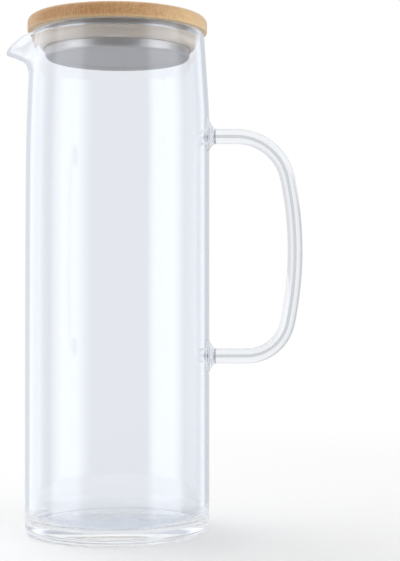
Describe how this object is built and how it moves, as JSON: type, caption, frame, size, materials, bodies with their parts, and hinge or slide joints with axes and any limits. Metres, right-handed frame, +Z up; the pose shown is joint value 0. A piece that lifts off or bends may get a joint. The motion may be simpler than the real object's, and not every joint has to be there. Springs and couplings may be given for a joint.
{
  "type": "glass pitcher with lid",
  "caption": "Tall straight-sided glass pitcher with a pulled spout, a bent glass rod handle and a round bamboo lid on a steel plug with a silicone seal ring.",
  "frame": {"origin": "on the pitcher's axis, at the flat foot that it rests on", "axes": "+Z up along the pitcher's axis, +X towards the handle, -X towards the spout"},
  "size_m": [0.1535, 0.095, 0.265],
  "materials": {
    "glass": "clear fire-polished borosilicate",
    "bamboo": "sanded and oiled laminated bamboo",
    "core": "moulded",
    "screw": "plain",
    "steel": "satin",
    "silicone": "translucent matte"
  },
  "bodies": {
    "pitcher": {"glass_body": "glass", "glass_handle": "glass"},
    "seal": {"silicone_seal_ring": "silicone"},
    "lid": {"bamboo_lid": "bamboo", "plug_core": "core", "lid_screws": "screw", "steel_plug_cup": "steel"}
  },
  "joints": [
    {"name": "lid_lift", "type": "slide", "parent": "pitcher", "child": "seal", "axis": [0, 0, 1], "range_m": [0, 0.12]},
    {"name": "lid_turn", "type": "hinge", "parent": "seal", "child": "lid", "pos_m": [0, 0, 0.257], "axis": [0, 0, 1], "continuous": true}
  ]
}
